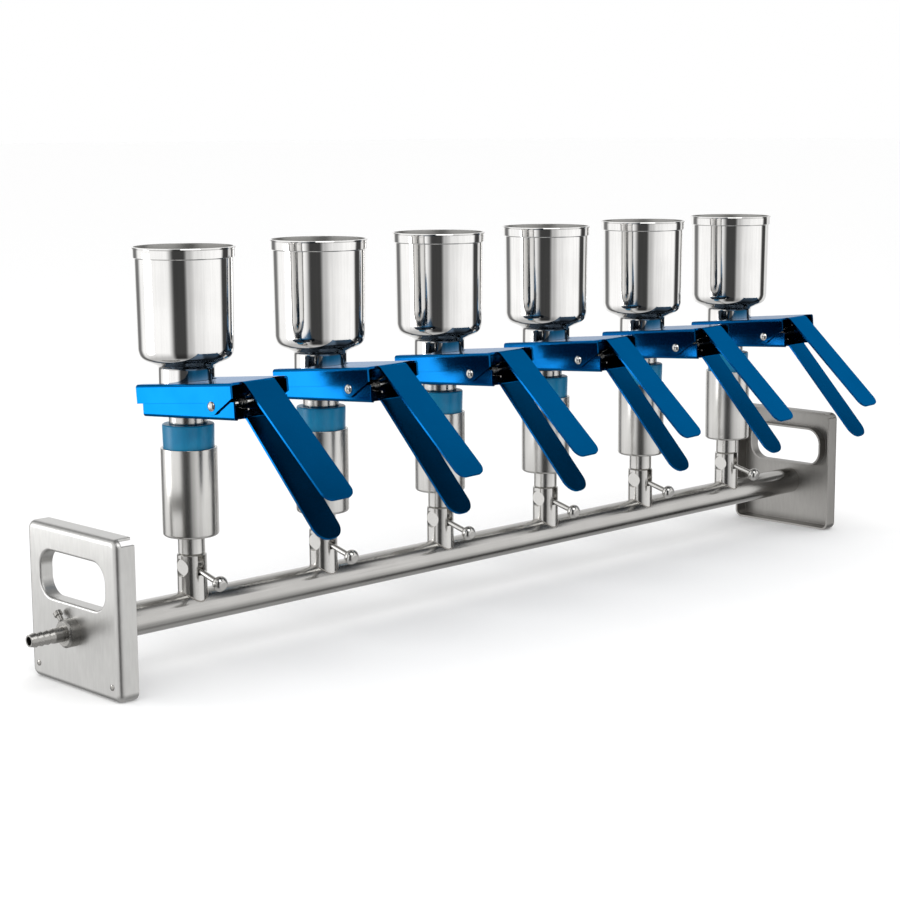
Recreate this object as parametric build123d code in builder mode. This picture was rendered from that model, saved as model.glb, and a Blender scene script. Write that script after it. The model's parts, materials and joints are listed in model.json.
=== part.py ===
# Six-station vacuum filtration manifold in stainless steel with blue spring clamps.
# Frame: millimetres, +Z up, +X along the manifold tube, the clamp handles reach towards -Y.
# The origin is on the bench, in the middle of the foot of the left end plate.
from build123d import *
import math
import os

os.makedirs("parts", exist_ok=True)

# Layout of the row of stations
station_count = 6
station_pitch = 130.0
end_margin = 107.0  # from the outer stations to the outer faces of the end plates

# Manifold tube
tube_radius = 12.7
tube_wall = 1.5
tube_height = 43.0  # axis above the bench
weld_gap = 0.05

# End plates, pressed as shallow pans with their flanges turned inwards
plate_width = 114.0
plate_height = 118.0
plate_sheet = 2.0
plate_depth = 16.0
plate_bend = 5.0
plate_corner = 7.0
relief_notch = 5.0
slot_length = 82.0
slot_height = 35.0
slot_corner = 14.0
slot_centre = 81.0
slot_collar_depth = 11.0
slot_lip = 2.0

# Tube ends and the vacuum outlet
plug_length = 18.0
plug_fit = 0.05
thread_fit = 0.05
thread_runout = 1.0
outlet_thread_radius = 6.5
outlet_bore_radius = 3.2
collar_radius = 10.5
collar_length = 9.0
barb_root_radius = 4.3
barb_ridge_radius = 5.45
barb_seat_radius = 5.5  # the plain length that the hose end seals on
barb_ridge_count = 4
barb_ridge_pitch = 5.0
barb_plain_length = 8.0
barb_thread_length = 16.0
lock_screw_radius = 2.0
lock_screw_head_radius = 3.2
lock_screw_length = 9.0
end_bolt_radius = 4.0
end_bolt_head_radius = 7.0
end_bolt_head_height = 5.0
end_bolt_length = 16.0
end_washer_radius = 9.5
end_washer_thickness = 1.6

# Valves
pivot_rise = 31.5  # valve pivot above the tube's axis
valve_radius = 11.3
valve_shoulder = 10.0  # body top above the pivot
valve_spigot_radius = 6.0
valve_spigot_length = 8.0
valve_port_radius = 3.0
valve_edge = 0.8
plug_radius = 7.0
plug_margin = 2.3  # how far each plug end stays inside the body
plug_port_radius = 2.25
running_fit = 0.05
lever_rest_angle = -14.0
lever_travel = 46.0
lever_radius = 2.3
lever_clearance = 0.45
lever_reach = 35.0
lever_seat_depth = 4.0
knob_radius = 6.0
knob_length = 9.0

# Posts and stoppers
stem_length = 14.0
stem_radius = 10.2
post_radius = 21.2
post_wall = 2.0
post_floor = 3.0
post_length = 67.0
post_edge = 2.5
stopper_exposed = 18.0
stopper_depth = 12.0
stopper_top_radius = 19.5
stopper_mouth_gap = 0.1
stopper_taper = 0.5

# Filter bases, with their support screens and gaskets
hub_radius = 14.4
hub_height = 6.0
base_cone_height = 5.0
base_rise = 12.5  # underside of the base flange above the stopper
flange_radius = 24.8
base_flange_height = 8.0
drain_radius = 7.0
drain_bore_radius = 4.5
drain_below_stopper = 6.0
base_cup_radius = 20.5
base_cup_depth = 4.0
screen_radius = 20.3
screen_thickness = 1.2
screen_ring = 1.6
screen_hole_radius = 0.9
gasket_groove = 0.8
gasket_outer_radius = 23.0

# Funnels
funnel_wall = 1.3
funnel_flange_height = 6.0
neck_radius = 21.0
neck_length = 23.0  # from the flange seam to the shoulder
shoulder_rise = 11.0
shoulder_edge = 33.5
shoulder_drop = 5.5
body_foot_radius = 35.6
body_top_radius = 36.4
body_height = 69.0
rim_height = 8.0
rim_radius = 37.6
rim_bead = 0.8

# Spring clamps
clamp_yaw = 6.5
upper_tilt = 5.0
lower_tilt = 3.0
clamp_sheet = 1.8
clamp_half_width = 29.5
clamp_bend = 2.4
nest_gap = 0.3
seat_gap = 0.3
upper_lip = 3.5
lower_lip = 3.3
jaw_gap = 0.9  # from the neck to the jaw's lip
upper_front = 23.0
lower_front = 19.0
pin_reach = 56.0
pin_drop = 4.0
pin_radius = 2.5
pin_fit = 0.05
pin_head_radius = 3.6
pin_head_height = 1.8
pin_head_taper = 30.0
pin_end_gap = 0.3
ear_radius = 6.5
ear_lean = 50.0
upper_flange_drop = 14.0
lower_flange_rise = 13.5
flange_end = 82.0
upper_flange_notch = 8.0  # how far the upper flange's rear corner stays below its plate
handle_bend_radius = 7.0
upper_bend = 95.0
upper_handle_angle = 58.5
upper_handle_length = 101.0
upper_handle_half = 21.5
upper_handle_corner = 9.0
lower_bend = 86.0
lower_handle_angle = 60.5
lower_handle_length = 101.0
lower_handle_half = 15.0
lower_handle_corner = 14.0

# Clamp springs
spring_wire = 0.8
spring_seat = 0.35  # from the pin to the inside of the coil
spring_turns = 3
spring_pitch = 2.6
spring_leg = 22.0
spring_upper_lean = 19.0
spring_lower_lean = 5.0

# Places worked out from the sizes above
left_face = -plate_depth / 2
right_face = left_face + 2 * end_margin + (station_count - 1) * station_pitch
plate_ends = ((-1, left_face, "left_end_plate"), (1, right_face, "right_end_plate"))
pivot_z = tube_height + pivot_rise
valve_top = pivot_z + valve_shoulder
post_bottom = valve_top + stem_length
post_top = post_bottom + post_length
stopper_top = post_top + stopper_exposed
flange_bottom = stopper_top + base_rise
seam_z = flange_bottom + base_flange_height
flange_top = seam_z + funnel_flange_height
grip_z = (flange_bottom + flange_top) / 2
stack_half = (flange_top - flange_bottom) / 2
neck_top = seam_z + neck_length
body_foot = neck_top + shoulder_rise
body_top = body_foot + body_height
rim_top = body_top + rim_height
upper_plate = stack_half + upper_lip
lower_plate = stack_half + lower_lip
jaw_inner = neck_radius + jaw_gap
lower_half_width = clamp_half_width - clamp_sheet - nest_gap


def station_x(number):
    return left_face + end_margin + (number - 1) * station_pitch


def upright_plane(x):
    # Sketch plane through a station's axis: local x is radial, local y is height.
    return Plane(origin=(x, 0, 0), x_dir=(1, 0, 0), z_dir=(0, -1, 0))


def side_plane(x):
    # Sketch plane across the tube at a station: local x points to -Y, local y is height.
    return Plane(origin=(x, 0, 0), x_dir=(0, -1, 0), z_dir=(-1, 0, 0))


def clamp_directions(tilt):
    # Unit vectors of a clamp half: along the handles, up off its plate, and across it.
    yaw = math.radians(clamp_yaw)
    rise = math.radians(tilt)
    level = Vector(math.sin(yaw), -math.cos(yaw), 0)
    along = level * math.cos(rise) + Vector(0, 0, math.sin(rise))
    up = Vector(0, 0, math.cos(rise)) - level * math.sin(rise)
    return along, up, along.cross(up)


def clamp_side(x, tilt):
    # Side view of a clamp half: local x runs towards the handle, local y is up.
    along, up, across = clamp_directions(tilt)
    return Plane(origin=(x, 0, grip_z), x_dir=along, z_dir=across)


def clamp_plan(x, tilt, height):
    # Plan view of a clamp half at a height over the grip: local x towards the handle.
    along, up, across = clamp_directions(tilt)
    return Plane(origin=Vector(x, 0, grip_z) + up * height, x_dir=along, z_dir=up)


def level_plan(x, z):
    # Level plane over a station, turned with the clamp: local x towards the handle.
    along, up, across = clamp_directions(0)
    return Plane(origin=(x, 0, z), x_dir=along, z_dir=(0, 0, 1))


def pin_point(tilt):
    # The pin's place in a half's side view: both halves share the pin.
    turn = math.radians(upper_tilt - tilt)
    s = pin_reach * math.cos(turn) + pin_drop * math.sin(turn)
    h = pin_reach * math.sin(turn) - pin_drop * math.cos(turn)
    return s, h


# Manifold tube: thin-walled, closed by plugs, with one port under each valve
with BuildPart() as manifold_tube:
    with BuildSketch(Plane.YZ.offset(left_face + plate_sheet)):
        with Locations((0, tube_height)):
            Circle(tube_radius)
            Circle(tube_radius - tube_wall, mode=Mode.SUBTRACT)
    extrude(amount=right_face - left_face - 2 * plate_sheet)
    with BuildSketch(Plane.XY.offset(tube_height)):
        with Locations(*[(station_x(number), 0) for number in range(1, station_count + 1)]):
            Circle(valve_port_radius)
    extrude(amount=2 * tube_radius, mode=Mode.SUBTRACT)
manifold_tube.part.label = "manifold_tube"
export_step(manifold_tube.part, "parts/manifold_tube.step")


def pan_section(grow):
    # The pan's rounded outline seen along X, grown or shrunk all round.
    with Locations((0, plate_height / 2)):
        RectangleRounded(plate_width + 2 * grow, plate_height + 2 * grow, plate_corner + grow)


# End plates: pressed pans with a collared carrying slot, open notches at the top corners
for side, face_x, plate_name in plate_ends:
    outward = Plane(origin=(face_x, 0, 0), x_dir=(0, side, 0), z_dir=(side, 0, 0))
    hole_radius = outlet_thread_radius + thread_fit if side < 0 else end_bolt_radius + thread_fit
    with BuildPart() as end_plate:
        with BuildSketch(outward):
            pan_section(0)
        extrude(amount=-plate_depth)
        fillet(end_plate.faces().sort_by(Axis.X)[0 if side < 0 else -1].edges(), plate_bend)
        with BuildSketch(outward.offset(-plate_sheet)):
            pan_section(-plate_sheet)
        extrude(amount=-plate_depth, mode=Mode.SUBTRACT)
        with BuildSketch(outward):
            with Locations((0, slot_centre)):
                RectangleRounded(slot_length + 2 * plate_sheet, slot_height + 2 * plate_sheet,
                                 slot_corner + plate_sheet)
        extrude(amount=-slot_collar_depth)
        with BuildSketch(outward):
            with Locations((0, slot_centre)):
                RectangleRounded(slot_length, slot_height, slot_corner)
        extrude(amount=-slot_collar_depth, mode=Mode.SUBTRACT)
        mouth = end_plate.faces().sort_by(Axis.X)[0 if side < 0 else -1].inner_wires()[0]
        fillet(mouth.edges(), slot_lip)
        with BuildSketch(outward.offset(-plate_bend)):
            for edge_y in (-plate_width / 2, plate_width / 2):
                with Locations((edge_y, plate_height)):
                    Rectangle(2 * relief_notch, 2 * relief_notch)
        extrude(amount=-plate_depth, mode=Mode.SUBTRACT)
        with BuildSketch(outward):
            with Locations((0, tube_height)):
                Circle(hole_radius)
        extrude(amount=-2 * plate_sheet, mode=Mode.SUBTRACT)
    end_plate.part.label = plate_name
    export_step(end_plate.part, f"parts/{plate_name}.step")

# Plugs welded in the tube's ends: drilled through for the outlet, blind for the end bolt
plug_seat_radius = tube_radius - tube_wall - plug_fit
with BuildPart() as tube_end_plugs:
    for side, face_x, plate_name in plate_ends:
        web_face = Plane(origin=(face_x - side * plate_sheet, 0, tube_height), z_dir=(side, 0, 0))
        with BuildSketch(web_face):
            Circle(plug_seat_radius)
        extrude(amount=-plug_length)
        with BuildSketch(web_face):
            Circle((outlet_thread_radius if side < 0 else end_bolt_radius) + thread_fit)
        hole_depth = (barb_thread_length if side < 0 else end_bolt_length) + thread_runout
        extrude(amount=-hole_depth, mode=Mode.SUBTRACT)
    with BuildSketch(Plane.YZ.offset(left_face)):
        with Locations((0, tube_height)):
            Circle(outlet_bore_radius)
    extrude(amount=plate_sheet + plug_length, mode=Mode.SUBTRACT)
tube_end_plugs.part.label = "tube_end_plugs"
export_step(tube_end_plugs.part, "parts/tube_end_plugs.step")

# Outlet collar: the nut that clamps the plate to the tube's plug, with its round lock screw
outlet_face = Plane(origin=(left_face, 0, tube_height), x_dir=(0, 1, 0), z_dir=(-1, 0, 0))
with BuildPart() as outlet_collar:
    with BuildSketch(outlet_face):
        Circle(collar_radius)
        Circle(outlet_thread_radius + thread_fit, mode=Mode.SUBTRACT)
    extrude(amount=collar_length)
    chamfer(outlet_collar.faces().sort_by(Axis.X)[0].outer_wire().edges(), collar_length / 6)
    screw_direction = Vector(0, 1, 1).normalized()
    collar_middle = Vector(left_face - collar_length / 2, 0, tube_height)
    with BuildSketch(Plane(origin=collar_middle, z_dir=screw_direction)):
        Circle(lock_screw_radius + thread_fit)
    extrude(amount=2 * collar_radius, mode=Mode.SUBTRACT)
    lock_foot = collar_middle + screw_direction * (outlet_thread_radius + thread_fit)
    with BuildSketch(Plane(origin=lock_foot, z_dir=screw_direction)):
        Circle(lock_screw_radius)
    extrude(amount=lock_screw_length)
    lock_neck = lock_foot + screw_direction * lock_screw_length
    with BuildSketch(Plane(origin=lock_neck, z_dir=screw_direction)):
        Circle(lock_screw_head_radius)
    extrude(amount=lock_screw_head_radius)
outlet_collar.part.label = "outlet_collar"
export_step(outlet_collar.part, "parts/outlet_collar.step")

# Hose barb: threaded root through the plate, plain seat for the hose and a ridged tail
barb_start = collar_length + barb_plain_length
barb_tail = barb_ridge_count * barb_ridge_pitch
with BuildPart() as hose_barb:
    with BuildSketch(Plane(origin=(left_face, 0, tube_height), x_dir=(-1, 0, 0), z_dir=(0, 1, 0))):
        with BuildLine():
            root = -(plate_sheet + barb_thread_length)
            points = [(root, outlet_bore_radius), (root, outlet_thread_radius),
                      (collar_length, outlet_thread_radius), (collar_length, barb_seat_radius),
                      (barb_start, barb_seat_radius)]
            for ridge in range(barb_ridge_count):
                foot = barb_start + ridge * barb_ridge_pitch
                if ridge > 0:
                    points.append((foot, barb_ridge_radius))
                points.append((foot + barb_ridge_pitch, barb_root_radius))
            points.append((barb_start + barb_tail, outlet_bore_radius))
            Polyline(*points, close=True)
        make_face()
    revolve(axis=Axis((0, 0, tube_height), (1, 0, 0)))
hose_barb.part.label = "hose_barb"
export_step(hose_barb.part, "parts/hose_barb.step")

# End bolt with its washer: it holds the far plate to the tube's plug
bolt_face = Plane(origin=(right_face, 0, tube_height), x_dir=(0, 1, 0), z_dir=(1, 0, 0))
head_face = bolt_face.offset(end_washer_thickness + thread_fit)
with BuildPart() as end_bolt:
    with BuildSketch(head_face):
        RegularPolygon(end_bolt_head_radius, 6)
    extrude(amount=end_bolt_head_height)
    with BuildSketch(head_face):
        Circle(end_bolt_radius)
    extrude(amount=-(end_washer_thickness + plate_sheet + end_bolt_length))
    with BuildSketch(bolt_face):
        Circle(end_washer_radius)
        Circle(end_bolt_radius + thread_fit, mode=Mode.SUBTRACT)
    extrude(amount=end_washer_thickness)
end_bolt.part.label = "end_bolt"
export_step(end_bolt.part, "parts/end_bolt.step")


def lever_sweep(reach):
    # Corners, in side view, of all that the lever sweeps with its clearance.
    half = lever_radius + lever_clearance
    low = math.radians(lever_rest_angle)
    high = math.radians(lever_rest_angle + lever_travel)
    low_foot = (half * math.sin(low), pivot_z - half * math.cos(low))
    high_foot = (-half * math.sin(high), pivot_z + half * math.cos(high))
    low_tip = (low_foot[0] + reach * math.cos(low), low_foot[1] + reach * math.sin(low))
    high_tip = (high_foot[0] + reach * math.cos(high), high_foot[1] + reach * math.sin(high))
    return low_foot, low_tip, high_tip, high_foot


# Valve bodies: a turned barrel coped on to the tube, a cross bore and a slot for the lever
for number in range(1, station_count + 1):
    x = station_x(number)
    with BuildPart() as valve_body:
        with BuildSketch(upright_plane(x)):
            with BuildLine():
                Polyline((valve_port_radius, tube_height), (valve_radius, tube_height),
                         (valve_radius, valve_top - valve_edge),
                         (valve_radius - valve_edge, valve_top), (valve_spigot_radius, valve_top),
                         (valve_spigot_radius, valve_top + valve_spigot_length),
                         (valve_port_radius, valve_top + valve_spigot_length), close=True)
            make_face()
        revolve(axis=Axis((x, 0, 0), (0, 0, 1)))
        with BuildSketch(Plane.YZ.offset(x)):
            with Locations((0, tube_height)):
                Circle(tube_radius + weld_gap)
            with Locations((0, pivot_z)):
                Circle(plug_radius + running_fit)
        extrude(amount=valve_radius, both=True, mode=Mode.SUBTRACT)
        with BuildSketch(side_plane(x)):
            with BuildLine():
                Polyline(*lever_sweep(2 * valve_radius), close=True)
            make_face()
        extrude(amount=lever_radius + lever_clearance, both=True, mode=Mode.SUBTRACT)
    valve_body.part.label = f"valve_body_{number}"
    export_step(valve_body.part, f"parts/valve_body_{number}.step")

# Valve plugs: they turn in the cross bore and are ported across, and the lever screws in
for number in range(1, station_count + 1):
    x = station_x(number)
    angle = math.radians(lever_rest_angle)
    lever_axis = Vector(0, -math.cos(angle), math.sin(angle))
    open_angle = math.radians(lever_travel)
    port_axis = Vector(0, math.sin(open_angle), math.cos(open_angle))
    pivot = Vector(x, 0, pivot_z)
    with BuildPart() as valve_plug:
        with BuildSketch(Plane.YZ.offset(x)):
            with Locations((0, pivot_z)):
                Circle(plug_radius)
        extrude(amount=valve_radius - plug_margin, both=True)
        with BuildSketch(Plane(origin=pivot, x_dir=(1, 0, 0), z_dir=port_axis)):
            Circle(plug_port_radius)
        extrude(amount=plug_radius, both=True, mode=Mode.SUBTRACT)
        with BuildSketch(Plane(origin=pivot + lever_axis * (plug_radius - lever_seat_depth),
                               x_dir=(1, 0, 0), z_dir=lever_axis)):
            Circle(lever_radius)
        extrude(amount=plug_radius, mode=Mode.SUBTRACT)
    valve_plug.part.label = f"valve_plug_{number}"
    export_step(valve_plug.part, f"parts/valve_plug_{number}.step")

    # Lever: a round rod with a barrel-shaped knob turned on its end
    with BuildPart() as valve_lever:
        with BuildSketch(Plane(origin=pivot, x_dir=lever_axis, z_dir=(1, 0, 0))):
            with BuildLine():
                foot = plug_radius - lever_seat_depth
                knob_foot = lever_reach - knob_length / 2
                knob_end = lever_reach + knob_length / 2
                Polyline((knob_end, knob_radius / 2), (knob_end, 0), (foot, 0),
                         (foot, lever_radius), (knob_foot, lever_radius),
                         (knob_foot, knob_radius / 2))
                ThreePointArc((knob_foot, knob_radius / 2), (lever_reach, knob_radius),
                              (knob_end, knob_radius / 2))
            make_face()
        revolve(axis=Axis(pivot, lever_axis))
    valve_lever.part.label = f"valve_lever_{number}"
    export_step(valve_lever.part, f"parts/valve_lever_{number}.step")

# Posts: polished tubes with a floor and a stem that screws on to the valve's spigot
for number in range(1, station_count + 1):
    x = station_x(number)
    inner = post_radius - post_wall
    with BuildPart() as post:
        with BuildSketch(upright_plane(x)):
            with BuildLine():
                Polyline((valve_spigot_radius + weld_gap, valve_top),
                         (stem_radius - valve_edge, valve_top),
                         (stem_radius, valve_top + valve_edge), (stem_radius, post_bottom),
                         (post_radius - post_edge, post_bottom))
                RadiusArc((post_radius - post_edge, post_bottom),
                          (post_radius, post_bottom + post_edge), -post_edge)
                Polyline((post_radius, post_bottom + post_edge), (post_radius, post_top),
                         (inner, post_top), (inner, post_bottom + post_floor),
                         (valve_port_radius, post_bottom + post_floor),
                         (valve_port_radius, valve_top + valve_spigot_length + weld_gap),
                         (valve_spigot_radius + weld_gap,
                          valve_top + valve_spigot_length + weld_gap),
                         (valve_spigot_radius + weld_gap, valve_top))
            make_face()
        revolve(axis=Axis((x, 0, 0), (0, 0, 1)))
    post.part.label = f"post_{number}"
    export_step(post.part, f"parts/post_{number}.step")

# Stoppers: tapered rubber bungs in the posts' mouths, bored for the drain stems
mouth_radius = post_radius - post_wall - stopper_mouth_gap
with BuildPart() as stoppers:
    for number in range(1, station_count + 1):
        x = station_x(number)
        with BuildSketch(upright_plane(x)):
            with BuildLine():
                Polyline((drain_radius, post_top - stopper_depth),
                         (mouth_radius - stopper_taper, post_top - stopper_depth),
                         (mouth_radius, post_top), (stopper_top_radius, stopper_top),
                         (drain_radius, stopper_top), close=True)
            make_face()
        revolve(axis=Axis((x, 0, 0), (0, 0, 1)))
stoppers.part.label = "stoppers"
export_step(stoppers.part, "parts/stoppers.step")

# Filter bases: a drain stem, a hub on the stopper, a cone and a flange with a shallow cup
cup_floor = seam_z - base_cup_depth
for number in range(1, station_count + 1):
    x = station_x(number)
    with BuildPart() as filter_base:
        with BuildSketch(upright_plane(x)):
            with BuildLine():
                drain_foot = post_top - stopper_depth - drain_below_stopper
                hub_top = stopper_top + hub_height
                Polyline((drain_bore_radius, drain_foot), (drain_radius, drain_foot),
                         (drain_radius, stopper_top), (hub_radius, stopper_top),
                         (hub_radius, hub_top), (neck_radius, hub_top + base_cone_height),
                         (neck_radius, flange_bottom), (flange_radius, flange_bottom),
                         (flange_radius, seam_z), (gasket_outer_radius, seam_z),
                         (gasket_outer_radius, seam_z - gasket_groove),
                         (base_cup_radius, seam_z - gasket_groove),
                         (base_cup_radius, cup_floor), (drain_bore_radius, hub_top), close=True)
            make_face()
        revolve(axis=Axis((x, 0, 0), (0, 0, 1)))
    filter_base.part.label = f"filter_base_{number}"
    export_step(filter_base.part, f"parts/filter_base_{number}.step")

# Support screens: perforated discs on the step of the base's cup
with BuildPart() as support_screens:
    for number in range(1, station_count + 1):
        x = station_x(number)
        with BuildSketch(Plane.XY.offset(cup_floor)):
            with Locations((x, 0)):
                Circle(screen_radius)
                Circle(screen_radius - screen_ring, mode=Mode.SUBTRACT)
        extrude(amount=seam_z - gasket_groove - cup_floor - screen_thickness)
        with BuildSketch(Plane.XY.offset(seam_z - gasket_groove - screen_thickness)):
            with Locations((x, 0)):
                Circle(screen_radius)
                with PolarLocations(screen_radius / 2, 6):
                    Circle(screen_hole_radius, mode=Mode.SUBTRACT)
        extrude(amount=screen_thickness)
support_screens.part.label = "support_screens"
export_step(support_screens.part, "parts/support_screens.step")

# Gaskets: flat rings in the groove, squeezed between base and funnel
with BuildPart() as funnel_gaskets:
    for number in range(1, station_count + 1):
        x = station_x(number)
        with BuildSketch(Plane.XY.offset(seam_z - gasket_groove)):
            with Locations((x, 0)):
                Circle(gasket_outer_radius - weld_gap)
                Circle(screen_radius + weld_gap, mode=Mode.SUBTRACT)
        extrude(amount=gasket_groove)
funnel_gaskets.part.label = "funnel_gaskets"
export_step(funnel_gaskets.part, "parts/funnel_gaskets.step")

# Funnels: spun steel with a thick flange, a straight neck, a shoulder and a stepped rim
for number in range(1, station_count + 1):
    x = station_x(number)
    with BuildPart() as funnel:
        with BuildSketch(upright_plane(x)):
            with BuildLine():
                bore = neck_radius - funnel_wall
                Polyline((bore, seam_z), (flange_radius, seam_z), (flange_radius, flange_top),
                         (neck_radius, flange_top), (neck_radius, neck_top),
                         (shoulder_edge, neck_top + shoulder_drop))
                ThreePointArc((shoulder_edge, neck_top + shoulder_drop),
                              (body_foot_radius - 0.6, neck_top + shoulder_drop + 2.2),
                              (body_foot_radius, body_foot))
                Polyline((body_foot_radius, body_foot), (body_top_radius, body_top),
                         (rim_radius, body_top), (rim_radius, rim_top - 2 * rim_bead))
                ThreePointArc((rim_radius, rim_top - 2 * rim_bead),
                              (rim_radius + rim_bead, rim_top - rim_bead),
                              (rim_radius, rim_top))
                Polyline((rim_radius, rim_top), (rim_radius - funnel_wall, rim_top),
                         (rim_radius - funnel_wall, body_top + funnel_wall),
                         (body_top_radius - funnel_wall, body_top),
                         (body_foot_radius - funnel_wall, body_foot))
                ThreePointArc((body_foot_radius - funnel_wall, body_foot),
                              (body_foot_radius - funnel_wall - 0.6,
                               neck_top + shoulder_drop + 2.2 + funnel_wall),
                              (shoulder_edge - funnel_wall, neck_top + shoulder_drop + funnel_wall))
                Polyline((shoulder_edge - funnel_wall, neck_top + shoulder_drop + funnel_wall),
                         (bore, neck_top + funnel_wall), (bore, seam_z))
            make_face()
        revolve(axis=Axis((x, 0, 0), (0, 0, 1)))
    funnel.part.label = f"funnel_{number}"
    export_step(funnel.part, f"parts/funnel_{number}.step")


def handle_line(bend, height, angle, length):
    # Middle line of a handle's sheet in side view: off the plate, round the bend, to the tip.
    reach = math.radians(angle)
    tip = (bend + length * math.cos(reach), height - length * math.sin(reach))
    return (flange_end - clamp_sheet, height), (bend, height), tip


def rear_corners(handle_half, plate_half, bend):
    # Plan of the plate's tapered rear end, between its flanges and its handle.
    return ((flange_end - clamp_sheet, -plate_half), (flange_end, -plate_half),
            (bend - clamp_sheet, -handle_half), (bend - clamp_sheet, handle_half),
            (flange_end, plate_half), (flange_end - clamp_sheet, plate_half))


# Upper jaws: a forked plate with side flanges, bent down at the back into a broad handle
for number in range(1, station_count + 1):
    x = station_x(number)
    along, up, across = clamp_directions(upper_tilt)
    pin_s, pin_h = pin_point(upper_tilt)
    outer = upper_plate + clamp_sheet
    lean = math.radians(ear_lean)
    ear_foot = (pin_s + ear_radius * math.sin(lean), pin_h - ear_radius * math.cos(lean))
    with BuildPart() as upper_jaw:
        with BuildSketch(clamp_side(x, upper_tilt)):
            with BuildLine():
                Polyline((-upper_front, outer), (-upper_front, outer - upper_flange_drop),
                         (pin_s - ear_radius, outer - upper_flange_drop), ear_foot,
                         (flange_end, outer - upper_flange_notch), (flange_end, outer), close=True)
            make_face()
            with Locations((pin_s, pin_h)):
                Circle(ear_radius)
        extrude(amount=clamp_half_width, both=True)
        ridge = upper_jaw.edges().filter_by(Axis((x, 0, grip_z), along))
        fillet(ridge.sort_by(Axis((x, 0, grip_z), up))[-2:], clamp_bend)
        with BuildSketch(clamp_plan(x, upper_tilt, upper_plate)):
            Rectangle(4 * upper_bend, 2 * (clamp_half_width - clamp_sheet))
        extrude(amount=-4 * flange_radius, mode=Mode.SUBTRACT)
        with BuildSketch(level_plan(x, flange_top + seat_gap)):
            Circle(jaw_inner + clamp_sheet)
            with Locations((-upper_front / 2, 0)):
                Rectangle(upper_front, 2 * (jaw_inner + clamp_sheet))
        extrude(amount=2 * upper_lip)
        with BuildSketch(clamp_plan(x, upper_tilt, outer)):
            Rectangle(4 * flange_radius, 4 * flange_radius)
        extrude(amount=flange_radius, mode=Mode.SUBTRACT)
        with BuildSketch(level_plan(x, grip_z)):
            Circle(jaw_inner)
            with Locations((-flange_radius, 0)):
                Rectangle(2 * flange_radius, 2 * jaw_inner)
        extrude(amount=flange_radius, mode=Mode.SUBTRACT)
        with BuildSketch(clamp_plan(x, upper_tilt, upper_plate)):
            with BuildLine():
                Polyline(*rear_corners(upper_handle_half, clamp_half_width, upper_bend), close=True)
            make_face()
        extrude(amount=clamp_sheet)
        with BuildSketch(clamp_side(x, upper_tilt)):
            with BuildLine():
                FilletPolyline(*handle_line(upper_bend, outer - clamp_sheet / 2,
                                            upper_handle_angle, upper_handle_length),
                               radius=handle_bend_radius)
            trace(line_width=clamp_sheet)
        extrude(amount=upper_handle_half, both=True)
        reach = math.radians(upper_handle_angle)
        face_normal = along * math.sin(reach) + up * math.cos(reach)
        fillet(upper_jaw.edges().filter_by(Axis((x, 0, grip_z), face_normal)), upper_handle_corner)
        with BuildSketch(clamp_side(x, upper_tilt)):
            with Locations((pin_s, pin_h)):
                Circle(pin_radius + pin_fit)
        extrude(amount=clamp_half_width, both=True, mode=Mode.SUBTRACT)
    upper_jaw.part.label = f"clamp_upper_jaw_{number}"
    export_step(upper_jaw.part, f"parts/clamp_upper_jaw_{number}.step")

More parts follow.
